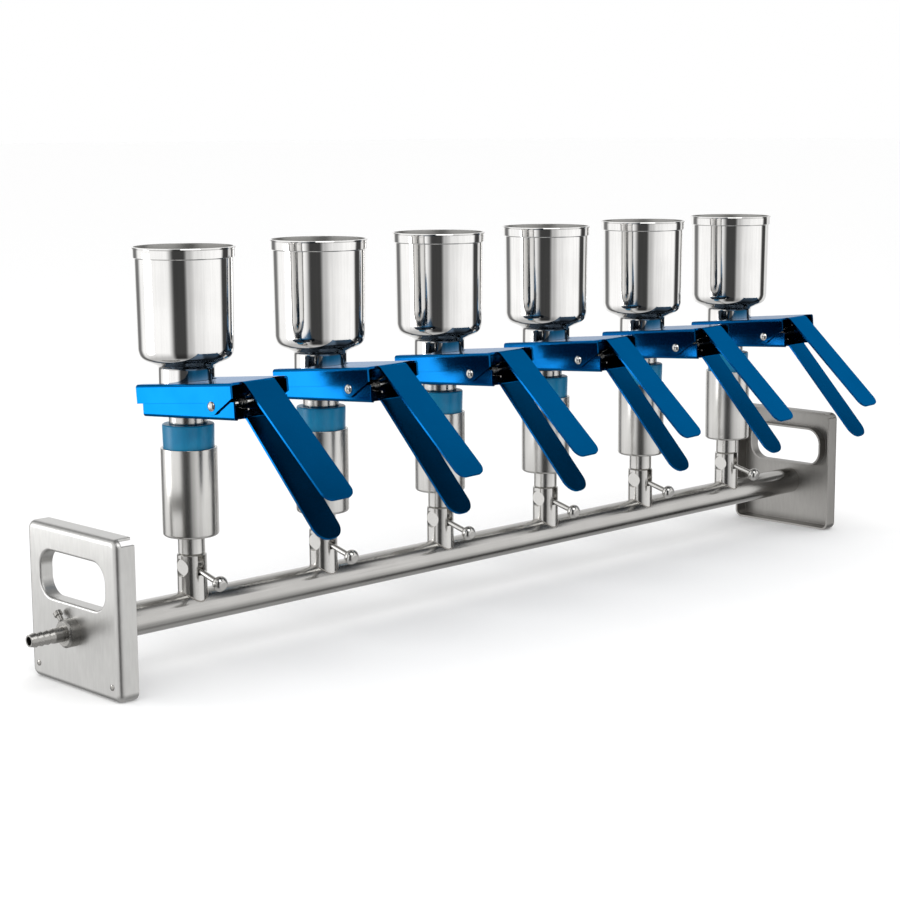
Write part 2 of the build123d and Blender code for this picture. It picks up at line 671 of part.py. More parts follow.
# Lower jaws: the same build nested between the upper jaw's flanges, with a narrow handle
for number in range(1, station_count + 1):
    x = station_x(number)
    along, up, across = clamp_directions(lower_tilt)
    pin_s, pin_h = pin_point(lower_tilt)
    outer = -lower_plate - clamp_sheet
    with BuildPart() as lower_jaw:
        with BuildSketch(clamp_side(x, lower_tilt)):
            with BuildLine():
                Polyline((-lower_front, outer), (-lower_front, outer + lower_flange_rise),
                         (flange_end, outer + lower_flange_rise), (flange_end, outer), close=True)
            make_face()
            with Locations((pin_s, pin_h)):
                Circle(ear_radius)
        extrude(amount=lower_half_width, both=True)
        ridge = lower_jaw.edges().filter_by(Axis((x, 0, grip_z), along))
        fillet(ridge.sort_by(Axis((x, 0, grip_z), up))[:2], clamp_bend)
        with BuildSketch(clamp_plan(x, lower_tilt, -lower_plate)):
            Rectangle(4 * upper_bend, 2 * (lower_half_width - clamp_sheet))
        extrude(amount=4 * flange_radius, mode=Mode.SUBTRACT)
        with BuildSketch(level_plan(x, flange_bottom - seat_gap)):
            Circle(jaw_inner + clamp_sheet)
            with Locations((-lower_front / 2, 0)):
                Rectangle(lower_front, 2 * (jaw_inner + clamp_sheet))
        extrude(amount=-2 * lower_lip)
        with BuildSketch(clamp_plan(x, lower_tilt, outer)):
            Rectangle(4 * flange_radius, 4 * flange_radius)
        extrude(amount=-flange_radius, mode=Mode.SUBTRACT)
        with BuildSketch(level_plan(x, grip_z)):
            Circle(jaw_inner)
            with Locations((-flange_radius, 0)):
                Rectangle(2 * flange_radius, 2 * jaw_inner)
        extrude(amount=-flange_radius, mode=Mode.SUBTRACT)
        with BuildSketch(clamp_plan(x, lower_tilt, outer)):
            with BuildLine():
                Polyline(*rear_corners(lower_handle_half, lower_half_width, lower_bend), close=True)
            make_face()
        extrude(amount=clamp_sheet)
        with BuildSketch(clamp_side(x, lower_tilt)):
            with BuildLine():
                FilletPolyline(*handle_line(lower_bend, outer + clamp_sheet / 2,
                                            lower_handle_angle, lower_handle_length),
                               radius=handle_bend_radius / 3)
            trace(line_width=clamp_sheet)
        extrude(amount=lower_handle_half, both=True)
        reach = math.radians(lower_handle_angle)
        face_normal = along * math.sin(reach) + up * math.cos(reach)
        fillet(lower_jaw.edges().filter_by(Axis((x, 0, grip_z), face_normal)), lower_handle_corner)
        with BuildSketch(clamp_side(x, lower_tilt)):
            with Locations((pin_s, pin_h)):
                Circle(pin_radius + pin_fit)
        extrude(amount=clamp_half_width, both=True, mode=Mode.SUBTRACT)
    lower_jaw.part.label = f"clamp_lower_jaw_{number}"
    export_step(lower_jaw.part, f"parts/clamp_lower_jaw_{number}.step")

# Clamp pins: riveted through both jaws' flanges, with a domed head at each end
pin_half = clamp_half_width + pin_end_gap
pin_s, pin_h = pin_point(upper_tilt)
with BuildPart() as clamp_pins:
    for number in range(1, station_count + 1):
        along, up, across = clamp_directions(upper_tilt)
        middle = Vector(station_x(number), 0, grip_z) + along * pin_s + up * pin_h
        with BuildSketch(Plane(origin=middle, z_dir=across)):
            Circle(pin_radius)
        extrude(amount=pin_half, both=True)
        for end in (-1, 1):
            with BuildSketch(Plane(origin=middle + across * (end * pin_half), z_dir=across * end)):
                Circle(pin_head_radius)
            extrude(amount=pin_head_height, taper=pin_head_taper)
clamp_pins.part.label = "clamp_pins"
export_step(clamp_pins.part, "parts/clamp_pins.step")

# Clamp springs: coils round the pins, with a leg to each handle, drawn as they are squeezed
coil_angle = math.radians(180 * (2 * spring_turns + 1) - spring_upper_lean - spring_lower_lean)
coil_radius = pin_radius + spring_seat + spring_wire
coil_width = spring_pitch * coil_angle / (2 * math.pi)
with BuildPart() as clamp_springs:
    for number in range(1, station_count + 1):
        along, up, across = clamp_directions(upper_tilt)
        middle = Vector(station_x(number), 0, grip_z) + along * pin_s + up * pin_h
        lean = math.radians(spring_upper_lean)
        start = up * math.cos(lean) - along * math.sin(lean)
        coil_foot = middle - across * (coil_width / 2)
        wire_points = []
        with BuildLine() as wire_path:
            for step in range(0, 49):
                angle = coil_angle * step / 48
                side = start * math.cos(angle) + across.cross(start) * math.sin(angle)
                rise = across * (coil_width * step / 48)
                wire_points.append(coil_foot + side * coil_radius + rise)
            first_leg = wire_points[0] - across.cross(start) * spring_leg
            droop = math.radians(spring_lower_lean)
            leg_way = along * math.cos(droop) - up * math.sin(droop)
            last_leg = wire_points[-1] + leg_way * spring_leg
            Polyline(first_leg, *wire_points, last_leg)
        with BuildSketch(Plane(origin=first_leg, z_dir=across.cross(start))):
            RegularPolygon(spring_wire, 6)
        sweep(transition=Transition.RIGHT)
clamp_springs.part.label = "clamp_springs"
export_step(clamp_springs.part, "parts/clamp_springs.step")
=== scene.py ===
import json
import math

import bmesh
import bpy
from mathutils import Matrix, Vector

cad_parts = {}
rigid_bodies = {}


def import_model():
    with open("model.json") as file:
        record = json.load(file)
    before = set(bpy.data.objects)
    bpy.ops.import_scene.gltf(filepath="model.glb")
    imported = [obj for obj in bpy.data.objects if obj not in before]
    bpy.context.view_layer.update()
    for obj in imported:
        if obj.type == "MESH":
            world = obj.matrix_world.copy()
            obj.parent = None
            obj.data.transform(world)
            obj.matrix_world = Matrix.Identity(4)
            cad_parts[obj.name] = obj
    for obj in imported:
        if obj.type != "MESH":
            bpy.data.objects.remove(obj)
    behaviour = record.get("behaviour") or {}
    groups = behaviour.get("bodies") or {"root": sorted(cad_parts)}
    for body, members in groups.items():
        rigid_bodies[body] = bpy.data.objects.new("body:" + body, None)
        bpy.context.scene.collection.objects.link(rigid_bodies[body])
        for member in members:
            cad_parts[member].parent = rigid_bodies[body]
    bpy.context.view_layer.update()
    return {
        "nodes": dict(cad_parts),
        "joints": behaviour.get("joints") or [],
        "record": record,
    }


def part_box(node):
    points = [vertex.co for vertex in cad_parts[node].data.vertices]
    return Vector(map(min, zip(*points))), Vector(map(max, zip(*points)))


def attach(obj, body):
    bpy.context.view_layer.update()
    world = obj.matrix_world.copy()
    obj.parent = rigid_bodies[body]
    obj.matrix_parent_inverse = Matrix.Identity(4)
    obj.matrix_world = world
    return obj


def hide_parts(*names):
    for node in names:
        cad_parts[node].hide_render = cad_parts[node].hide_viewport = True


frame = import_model()
bpy.ops.object.select_all(action="DESELECT")


# Camera: a long lens a little above the funnels, looking along the row from the hose barb's
# end. Its place and turn were fitted to the photo's funnels, tube and end plates.
camera_data = bpy.data.cameras.new("camera")
camera_data.lens = 78.25
camera_data.clip_end = 200
camera = bpy.data.objects.new("camera", camera_data)
bpy.context.scene.collection.objects.link(camera)
bpy.context.scene.camera = camera
camera_turn = Matrix.Rotation(math.radians(-44.122), 4, "Z")
camera_pitch = Matrix.Rotation(math.radians(90 - 9.295), 4, "X")
camera_roll = Matrix.Rotation(math.radians(-0.334), 4, "Z")
camera_place = Matrix.Translation((-0.765872, -1.17217, 0.398137))
camera.matrix_world = camera_place @ camera_turn @ camera_pitch @ camera_roll
bpy.context.scene.view_settings.view_transform = "Standard"


# Floor: a wide white sheet under the object. It takes the soft shadows, and the steel
# mirrors the tent instead of it, as over a light table.
floor_width, row_middle = 120, 0.4
floor_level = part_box("left_end_plate")[0].z


def new_material(name):
    """A new material, and the shader that gives it its look."""
    material = bpy.data.materials.new(name)
    material.use_nodes = True
    return material, material.node_tree.nodes["Principled BSDF"]


bpy.ops.mesh.primitive_plane_add(size=floor_width, location=(row_middle, 0, floor_level))
floor = bpy.context.object
floor.name = "floor"
floor.visible_glossy = False
floor_sheet, floor_shader = new_material("white_sheet")
floor_shader.inputs["Base Color"].default_value = (1, 1, 1, 1)
floor_shader.inputs["Roughness"].default_value = 0.95
floor_shader.inputs["Specular IOR Level"].default_value = 0.05
floor.data.materials.append(floor_sheet)
bpy.ops.object.select_all(action="DESELECT")


# Studio: a white tent with dark upright flags, which draw the dark bands down the funnels.
# Each flag has its compass bearing from +Y towards +X, half its width, its softness and
# how dark it is. The tent is darker overhead and underfoot.
flags = ((108, 12, 5, 0.95), (-131, 20, 9, 0.95), (-152, 14, 12, 0.5), (-165, 24, 22, 0.2),
         (-2, 13, 8, 0.82), (70, 26, 16, 0.3))
tent_strength, darker_overhead, darker_underfoot = 1.06, 0.88, 0.5


class Value:
    """An output socket of a node tree. Python's operators on it add Math nodes."""

    def __init__(self, tree, socket):
        self.tree = tree
        self.socket = socket

    def node(self, kind, settings, inputs, output=0):
        """Any other node, from its type, its settings and its sockets' values or links."""
        made = self.tree.nodes.new(kind)
        for key, setting in settings.items():
            setattr(made, key, setting)
        for key, value in inputs.items():
            if isinstance(value, Value):
                value.into(made, key)
            else:
                made.inputs[key].default_value = value
        return Value(self.tree, made.outputs[output])

    def into(self, node, key):
        """Links this value to an input of a node."""
        self.tree.links.new(self.socket, node.inputs[key])

    def math(self, operation, *values):
        """A Math node of one operation, on the values given."""
        return self.node("ShaderNodeMath", {"operation": operation}, dict(enumerate(values)))

    def __add__(self, other):
        return self.math("ADD", self, other)

    def __sub__(self, other):
        return self.math("SUBTRACT", self, other)

    def __rsub__(self, other):
        return self.math("SUBTRACT", other, self)

    def __mul__(self, other):
        return self.math("MULTIPLY", self, other)

    __radd__ = __add__
    __rmul__ = __mul__

    def step(self, low, high):
        """0 below low, 1 above high, and a soft rise between them."""
        soft = {"interpolation_type": "SMOOTHSTEP"}
        return self.node("ShaderNodeMapRange", soft, {0: self, 1: low, 2: high})

    def mix(self, low, high):
        """A colour that goes from low to high as this value goes from 0 to 1."""
        colours = {"data_type": "RGBA"}
        return self.node("ShaderNodeMix", colours, {0: self, 6: low, 7: high}, 2)


studio = bpy.data.worlds.new("studio")
bpy.context.scene.world = studio
studio.use_nodes = True
studio_tree = studio.node_tree
way = studio_tree.nodes.new("ShaderNodeTexCoord")
split = studio_tree.nodes.new("ShaderNodeSeparateXYZ")
studio_tree.links.new(way.outputs["Generated"], split.inputs[0])
east, north, height = (Value(studio_tree, split.outputs[axis]) for axis in range(3))
bearing = east.math("ARCTAN2", east, north) * (180 / math.pi)
shade = None
for centre, half_width, softness, darkness in flags:
    aside = bearing.math("ABSOLUTE", bearing.math("WRAP", bearing - centre, 180.0, -180.0))
    flag = (1 - aside.step(half_width - softness, half_width + softness)) * darkness
    shade = flag if shade is None else shade.math("MAXIMUM", shade, flag)
upright = 1 - height.math("ABSOLUTE", height).step(0.65, 0.95)
overhead = height.step(0.6, 0.9)
underfoot = 1 - height.step(-0.7, -0.2)
tent = (1 - shade * upright) * (1 - underfoot * darker_underfoot)
tent = tent * (1 - overhead * darker_overhead) * tent_strength
ray = studio_tree.nodes.new("ShaderNodeLightPath")
camera_ray = Value(studio_tree, ray.outputs["Is Camera Ray"])
glossy_ray = Value(studio_tree, ray.outputs["Is Glossy Ray"])
strength = camera_ray.math("MAXIMUM", camera_ray, glossy_ray * tent + (1 - glossy_ray))
background = studio_tree.nodes["Background"]
background.inputs["Color"].default_value = (1, 1, 1, 1)
strength.into(background, "Strength")


# Lamps: one large softbox high in front, and a small one low on the left that catches the
# flank of the first clamp.
for lamp_name, place, aim, size, power in (
    ("high_softbox", (-0.3, -1.3, 1.7), (row_middle, 0, 0.15), 1.4, 12),
    ("flank_softbox", (-0.28, 0.3, 0.16), (0.08, -0.03, 0.2), 0.2, 0.4),
):
    lamp_data = bpy.data.lights.new(lamp_name, "AREA")
    lamp_data.size = size
    lamp_data.energy = power
    lamp = bpy.data.objects.new(lamp_name, lamp_data)
    bpy.context.scene.collection.objects.link(lamp)
    lamp.location = place
    lamp.rotation_euler = (Vector(aim) - Vector(place)).to_track_quat("-Z", "Y").to_euler()
    lamp.visible_camera = False


# Manifold tube: one-inch stainless tube, polished along its length, so that its grain and
# its long highlights run from plate to plate. A port is drilled in its top for each valve.
MM = 0.001
nodes = frame["nodes"]


def own_place(material):
    """A piece's own coordinates, in metres, which hold its grain and clouds still."""
    tree = material.node_tree
    return Value(tree, tree.nodes.new("ShaderNodeTexCoord").outputs["Object"])


def noise(place, scale, detail=2.0):
    """Soft random clouds, or a fine grain where the scale is high."""
    return place.node("ShaderNodeTexNoise", {}, {"Vector": place, "Scale": scale, "Detail": detail})


def relief(height, strength):
    """Bumps a tenth of a millimetre high at most, raised where the value is high."""
    bump = {"Strength": strength, "Distance": 0.1 * MM, "Height": height}
    return height.node("ShaderNodeBump", {}, bump)


def steel(name, colour, roughness, grain, spread, drawn, depth):
    """Bare stainless steel: fine grain drawn out along its polishing, and faint clouds."""
    worn, cloud_scale = 0.9, 26.0
    material, shader = new_material(name)
    shader.inputs["Metallic"].default_value = 1.0
    place = own_place(material)
    along = place.node("ShaderNodeMapping", {}, {"Vector": place, "Scale": drawn})
    lines = noise(along, grain, 4.0)
    clouds = noise(place, cloud_scale, 3.0)
    rough = (lines - 0.5) * spread + (clouds - 0.5) * (spread * 0.7) + roughness
    rough.into(shader, "Roughness")
    dull = tuple(channel * worn for channel in colour) + (1,)
    tone = (lines * 0.5 + clouds * 0.5).step(0.35, 0.65).mix(dull, colour + (1,))
    tone.into(shader, "Base Color")
    relief(lines, depth).into(shader, "Normal")
    return material


def dress(piece, material):
    """Gives a piece one material in place of all that it has."""
    piece.data.materials.clear()
    piece.data.materials.append(material)


def stand_for(piece, node, material):
    """The piece takes a CAD node's place on the body that holds that node."""
    dress(piece, material)
    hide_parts(node)
    for body, members in frame["record"]["behaviour"]["bodies"].items():
        if node in members:
            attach(piece, body)


def closed_copy(name, node, moved=Matrix()):
    """A CAD node's own mesh as a new piece, its doubles merged, selected and in edit mode."""
    piece = bpy.data.objects.new(name, nodes[node].data.copy())
    bpy.context.scene.collection.objects.link(piece)
    piece.data.transform(moved)
    bpy.context.view_layer.objects.active = piece
    piece.select_set(True)
    bpy.ops.object.mode_set(mode="EDIT")
    bpy.ops.mesh.select_all(action="SELECT")
    bpy.ops.mesh.remove_doubles(threshold=0.002 * MM)
    return piece


def merge_flats():
    """Makes one face of each flat patch of the mesh in edit mode, and leaves edit mode."""
    bpy.ops.mesh.dissolve_limited(angle_limit=math.radians(0.3))
    bpy.ops.object.mode_set(mode="OBJECT")


def ease_edges(piece, width, crease):
    """Eases a piece's sharp edges, and keeps the light even over its broad flat faces."""
    bevel = piece.modifiers.new("edge", "BEVEL")
    bevel.width = width * MM
    bevel.segments = 2
    bevel.angle_limit = math.radians(crease)
    bpy.ops.object.modifier_apply(modifier="edge")
    bpy.ops.object.shade_smooth_by_angle(angle=math.radians(crease))
    even = piece.modifiers.new("even", "WEIGHTED_NORMAL")
    even.keep_sharp = True
    bpy.ops.object.modifier_apply(modifier="even")
    piece.select_set(False)


def eased_copy(node, material, edge=0.3):
    """A CAD node's own shape with its edges eased, in that node's place."""
    piece = closed_copy(node + "_eased", node)
    merge_flats()
    ease_edges(piece, edge, 30)
    stand_for(piece, node, material)


tube_steel = steel("drawn_tube_steel", (0.55, 0.54, 0.52), 0.2, 700.0, 0.1, (0.02, 1, 1), 0.12)
eased_copy("manifold_tube", tube_steel)
dress(nodes["tube_end_plugs"], tube_steel)


# Weld beads: a fine ring of weld where each valve body is coped on to the tube. The ring
# follows the saddle that the two round shapes share.
stations = [joint["pos_m"][0] for joint in frame["joints"] if joint["name"].startswith("valve_lever_turn")]
tube_top, tube_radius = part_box("manifold_tube")[1].z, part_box("manifold_tube")[1].y
valve_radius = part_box("valve_body_1")[1].y
bead_radius, bead_points = 0.55 * MM, 64
weld_steel = steel("weld_steel", (0.5, 0.47, 0.44), 0.34, 900.0, 0.2, (1, 1, 1), 0.5)
saddle = bpy.data.curves.new("saddle", "CURVE")
saddle.dimensions = "3D"
saddle.bevel_depth = bead_radius
saddle.bevel_resolution = 3
path = saddle.splines.new("POLY")
path.points.add(bead_points - 1)
path.use_cyclic_u = True
for index, point in enumerate(path.points):
    turn = math.radians(index * 360 / bead_points)
    aside = valve_radius * math.sin(turn)
    rise = tube_top - tube_radius + math.sqrt(tube_radius ** 2 - aside ** 2)
    point.co = (valve_radius * math.cos(turn), aside, rise, 1)
drawn_bead = bpy.data.objects.new("drawn_bead", saddle)
bead = bpy.data.meshes.new_from_object(drawn_bead)
bead.shade_smooth()
bpy.data.objects.remove(drawn_bead)
for number, along in enumerate(stations, 1):
    weld = bpy.data.objects.new(f"weld_bead_{number}", bead.copy())
    bpy.context.scene.collection.objects.link(weld)
    weld.data.transform(Matrix.Translation((along, 0, 0)))
    dress(weld, weld_steel)
    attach(weld, "manifold")


# End plates: shallow pans pressed from stainless sheet, satin all over, with rounded edges,
# open notches at the top corners and a collared slot for the fingers.
plate_edge = 0.4
plate_steel = steel("satin_plate_steel", (0.62, 0.615, 0.6), 0.36, 420.0, 0.06, (1, 1, 0.2), 0.12)
eased_copy("left_end_plate", plate_steel, plate_edge)
# The far plate takes the same satin plate steel painted darker: painted shade on its face.
painted_shade_steel = steel("painted_shade_plate_steel", (0.36, 0.35, 0.335), 0.38, 420.0, 0.08, (1, 1, 0.2), 0.12)
eased_copy("right_end_plate", painted_shade_steel, plate_edge)


# Outlet: a turned collar with its round lock screw, and the hose barb that screws through it
# into the tube's plug. The bolt on the far plate has a hexagon head and a washer.
turned_steel = steel("turned_steel", (0.66, 0.65, 0.63), 0.18, 800.0, 0.08, (1, 1, 1), 0.08)
outlet_steel = steel("dull_outlet_steel", (0.42, 0.41, 0.39), 0.26, 800.0, 0.1, (1, 1, 1), 0.12)
eased_copy("outlet_collar", outlet_steel, 0.4)
eased_copy("hose_barb", outlet_steel, 0.2)
eased_copy("end_bolt", turned_steel, 0.4)


# Plate screws: two small domed screws low on each plate's outer face, turned from bar and
# screwed in from outside.
screw_aside, screw_height = 47, 11
screw_profile = ((0.05, 1.1, 0), (1.3, 0.95, 0), (2.2, 0.4, 0), (2.4, -0.3, 0), (0.05, -0.3, 0))


def select_rings(piece, *rings):
    """Selects the edges that lie in a turned piece's rings of (radius, height), and no others."""
    close = 0.003 * MM
    drawn = bmesh.from_edit_mesh(piece.data)
    for edge in drawn.edges:
        edge.select_set(any(all(abs(vert.co.xy.length - radius * MM) < close
                                and abs(vert.co.z - height * MM) < close
                                for vert in edge.verts) for radius, height in rings))
    bmesh.update_edit_mesh(piece.data)


def turned(name, profile, facets=128):
    """A turned piece about the Z axis: one ring drawn through a profile of (radius, height,
    rounding) in millimetres, then closed into a wall. Its corners are rounded off last."""
    rings = [(radius, height) for radius, height, rounding in profile]
    bpy.ops.mesh.primitive_circle_add(vertices=facets, radius=rings[0][0] * MM,
                                      location=(0, 0, rings[0][1] * MM))
    piece = bpy.context.object
    piece.name = name
    bpy.ops.object.transform_apply(location=True)
    bpy.ops.object.mode_set(mode="EDIT")
    bpy.ops.mesh.select_mode(type="EDGE")
    bpy.ops.mesh.select_all(action="SELECT")
    for (radius, height), (wide, high) in zip(rings, rings[1:]):
        bpy.ops.mesh.extrude_region_move(
            TRANSFORM_OT_translate={"value": (0, 0, (high - height) * MM)})
        bpy.ops.transform.resize(value=(wide / radius, wide / radius, 1),
                                 center_override=(0, 0, high * MM))
    select_rings(piece, rings[0], rings[-1])
    bpy.ops.mesh.bridge_edge_loops()
    for radius, height, rounding in profile:
        if rounding:
            select_rings(piece, (radius, height))
            bpy.ops.mesh.bevel(offset=rounding * MM, segments=4, affect="EDGES")
    bpy.ops.mesh.select_all(action="SELECT")
    bpy.ops.mesh.normals_make_consistent(inside=False)
    bpy.ops.object.mode_set(mode="OBJECT")
    bpy.ops.object.shade_smooth_by_angle(angle=math.radians(38))
    bpy.ops.object.select_all(action="DESELECT")
    return piece


for plate, face, outward in (("left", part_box("left_end_plate")[0].x, -90),
                             ("right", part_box("right_end_plate")[1].x, 90)):
    for side in (-1, 1):
        head = turned(f"{plate}_plate_screw_{side + 2}", screw_profile, 32)
        head.data.transform(Matrix.Translation((face, side * screw_aside * MM, screw_height * MM))
                            @ Matrix.Rotation(math.radians(outward), 4, "Y"))
        dress(head, outlet_steel)
        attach(head, "manifold")


# Valves: a barrel coped on to the tube, with a cross plug and a slot in which the lever
# travels. The lever is a rod with a barrel-shaped knob.
for number in range(1, len(stations) + 1):
    eased_copy(f"valve_body_{number}", turned_steel, 0.25)
    eased_copy(f"valve_plug_{number}", turned_steel, 0.2)
    eased_copy(f"valve_lever_{number}", turned_steel, 0.3)


# Posts: bright drawn tube on a floor with a screwed stem, which has a socket for the valve's
# spigot. The foot's edge is rounded.
post_radius, post_bore, stem_radius, stem_chamfer = 21.2, 19.2, 10.2, 0.8
socket_radius, drain_hole = 6.05, 3.0


def heights(node):
    """How high the foot and the top of a CAD node are, in millimetres."""
    low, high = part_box(node)
    return round(low.z / MM, 3), round(high.z / MM, 3)


def at_stations(master, node, material):
    """Stands a copy of a station's piece, with a mesh of its own, at every station."""
    for number, along in enumerate(stations, 1):
        piece = bpy.data.objects.new(f"{node}_{number}_turned", master.data.copy())
        bpy.context.scene.collection.objects.link(piece)
        piece.data.transform(Matrix.Translation((along, 0, 0)))
        stand_for(piece, f"{node}_{number}", material)
    bpy.data.objects.remove(master)


stem_foot, mouth = heights("post_1")
post_foot, post_floor, socket_top = mouth - 67.0, mouth - 64.0, stem_foot + 8.05
post_steel = steel("bright_post_steel", (0.68, 0.67, 0.65), 0.24, 420.0, 0.06, (1, 1, 0.05), 0.03)
post = turned("post", (
    (socket_radius, stem_foot, 0), (stem_radius - stem_chamfer, stem_foot, 0),
    (stem_radius, stem_foot + stem_chamfer, 0), (stem_radius, post_foot, 0.8),
    (post_radius, post_foot, 2.5), (post_radius, mouth, 0.4), (post_bore, mouth, 0.4),
    (post_bore, post_floor, 1.0), (drain_hole, post_floor, 0), (drain_hole, socket_top, 0),
    (socket_radius, socket_top, 0)))
at_stations(post, "post", post_steel)


# Stoppers: tapered bungs of blue silicone rubber, a little glossy, with rounded edges. Each
# is pushed into its post's mouth and holds the filter base's drain.
rubber, rubber_shader = new_material("blue_silicone")
rubber_shader.inputs["Specular IOR Level"].default_value = 0.35
rubber_place = own_place(rubber)
rubber_clouds = noise(rubber_place, 60.0, 3.0)
rubber_tone = rubber_clouds.step(0.3, 0.7).mix((0.001, 0.16, 0.32, 1), (0.0015, 0.2, 0.38, 1))
rubber_tone.into(rubber_shader, "Base Color")
(rubber_clouds * 0.16 + 0.24).into(rubber_shader, "Roughness")
relief(noise(rubber_place, 1400.0), 0.15).into(rubber_shader, "Normal")


def join_at_stations(master, node, material):
    """Joins the copies of a piece at all the stations into one, for a node that holds all."""
    for along in stations[1:]:
        copy = bpy.data.objects.new("copy", master.data.copy())
        bpy.context.scene.collection.objects.link(copy)
        copy.data.transform(Matrix.Translation((along, 0, 0)))
        copy.select_set(True)
    master.data.transform(Matrix.Translation((stations[0], 0, 0)))
    master.select_set(True)
    bpy.context.view_layer.objects.active = master
    bpy.ops.object.join()
    bpy.ops.object.select_all(action="DESELECT")
    stand_for(master, node, material)


stopper_foot, stopper_top = heights("stoppers")
drain_radius = 7.0
stopper = turned("stoppers_turned", (
    (drain_radius, stopper_foot, 0.4), (18.6, stopper_foot, 0.6), (19.1, mouth, 0),
    (19.5, stopper_top, 1.2), (drain_radius, stopper_top, 0.3)))
join_at_stations(stopper, "stoppers", rubber)


# Filter bases: a drain stem and hub, a cone and a thick flange, turned from bar. The cup in
# the top carries the perforated screen and the gasket.
drain_foot, seam = heights("filter_base_1")
hub_top, cone_top, flange_foot = stopper_top + 6.0, seam - 9.5, seam - 8.0
gasket_seat, cup_floor = seam - 0.8, seam - 4.0
hub_radius, cone_radius, flange_radius = 14.4, 21.0, 24.8
drain_bore, cup_radius, gasket_radius = 4.5, 20.5, 23.0
base = turned("filter_base", (
    (drain_bore, drain_foot, 0.2), (drain_radius, drain_foot, 0.4), (drain_radius, stopper_top, 0),
    (hub_radius, stopper_top, 0.6), (hub_radius, hub_top, 0.8), (cone_radius, cone_top, 0.8),
    (cone_radius, flange_foot, 0), (flange_radius, flange_foot, 0.6), (flange_radius, seam, 0.5),
    (gasket_radius, seam, 0), (gasket_radius, gasket_seat, 0), (cup_radius, gasket_seat, 0),
    (cup_radius, cup_floor, 0), (drain_bore, hub_top, 0)))
at_stations(base, "filter_base", turned_steel)
dress(nodes["support_screens"], turned_steel)


# Gaskets: flat white rings of silicone, cut from sheet and squeezed between base and funnel.
# They are matt, with a slightly uneven sheen.
gasket, gasket_shader = new_material("white_silicone")
gasket_shader.inputs["Base Color"].default_value = (0.8, 0.8, 0.77, 1)
(noise(own_place(gasket), 90.0) * 0.2 + 0.4).into(gasket_shader, "Roughness")
dress(nodes["funnel_gaskets"], gasket)


# Funnels: spun from stainless sheet and mirror polished. The flange sits on the base, the
# neck runs up to a rounded shoulder, and the rim steps out to a small rolled bead.
flange_top, neck_top, shoulder, body_foot = seam + 6.0, seam + 23.0, seam + 28.5, seam + 34.0
rim_top = heights("funnel_1")[1]
rim_foot = rim_top - 8.0
neck_radius, shoulder_radius, foot_radius, body_radius, rim_radius = 21.0, 33.5, 35.6, 36.4, 37.6
wall = 1.3
rolled_bead = ((0, -1.6), (0.6, -1.35), (0.8, -0.8), (0.6, -0.25), (0, 0))
mirror_steel = steel("mirror_steel", (0.93, 0.92, 0.905), 0.07, 500.0, 0.03, (1, 1, 0.04), 0.015)
funnel = turned("funnel", (
    (neck_radius - wall, seam, 0.4), (flange_radius, seam, 0.4), (flange_radius, flange_top, 0.8),
    (neck_radius, flange_top, 1.2), (neck_radius, neck_top, 2.2), (shoulder_radius, shoulder, 2.6),
    (foot_radius, body_foot, 2.4), (body_radius, rim_foot, 0.5), (rim_radius, rim_foot, 0.5),
    *((rim_radius + out, rim_top + up, 0) for out, up in rolled_bead),
    (rim_radius - wall, rim_top, 0.4), (rim_radius - wall, rim_foot + wall, 0.5),
    (body_radius - wall, rim_foot, 0.5), (foot_radius - wall, body_foot, 2.4),
    (shoulder_radius - wall, shoulder + wall, 2.6), (neck_radius - wall, neck_top + wall, 2.2)))
at_stations(funnel, "funnel", mirror_steel)


# Funnel linings: the inside of each bowl is left satin by the spinning tool. It is a second
# finish on the funnel's own faces, those that look inwards or up from the bowl's floor.
bowl_floor_top, facing_up, facing_in = 260 * MM, 0.3, -1e-5
lining_steel = steel("satin_lining_steel", (0.42, 0.415, 0.4), 0.36, 500.0, 0.08, (1, 1, 0.3), 0.06)
for number, along in enumerate(stations, 1):
    bowl = bpy.data.objects[f"funnel_{number}_turned"]
    bowl.data.materials.append(lining_steel)
    for face in bowl.data.polygons:
        inward = face.normal.xy.dot(face.center.xy - Vector((along, 0))) < facing_in
        on_floor = face.center.z < bowl_floor_top and face.normal.z > facing_up
        face.material_index = 1 if inward or on_floor else 0


# Clamps: two nested jaws pressed from aluminium sheet and anodised deep blue, with a painted
# sheen, paler and greener where a face turns away, and the fine satin of the etched metal under it.
# Where the polished steel mirrors the jaws, they are painted dark and hardly blue: a painted reflection.
clamp_yaw, upper_tilt, lower_tilt, grip = 6.5, 5.0, 3.0, (flange_foot + flange_top) / 2
clamp_sheet, flange_end = 1.8, 77.0
anodised, blue_shader = new_material("blue_anodised_aluminium")
blue_shader.inputs["Metallic"].default_value = 1.0
blue_shader.inputs["Specular Tint"].default_value = (0.35, 0.55, 0.8, 1)
blue_place = own_place(anodised)
blue_clouds = noise(blue_place, 35.0, 3.0)
blue_grain = noise(blue_place, 1500.0)
painted_sheen_mask = blue_place.node("ShaderNodeLayerWeight", {}, {"Blend": 0.35}, "Facing")
painted_reflection_mask = blue_place.node("ShaderNodeLightPath", {}, {}, "Is Glossy Ray")
deep_blue = blue_clouds.step(0.3, 0.7).mix((0.0018, 0.08, 0.28, 1), (0.0025, 0.095, 0.32, 1))
# Painted sheen: faces that turn away get a paler, greener blue painted into their colour.
blue_with_painted_sheen = painted_sheen_mask.mix(deep_blue, (0.004, 0.17, 0.36, 1))
# Painted reflection: rays that come from a mirror see the jaws in a dark grey instead of their blue.
painted_reflection_mask.mix(blue_with_painted_sheen, (0.04, 0.055, 0.075, 1)).into(blue_shader, "Base Color")
(blue_clouds * 0.06 + blue_grain * 0.05 + 0.1).into(blue_shader, "Roughness")
relief(blue_grain, 0.12).into(blue_shader, "Normal")


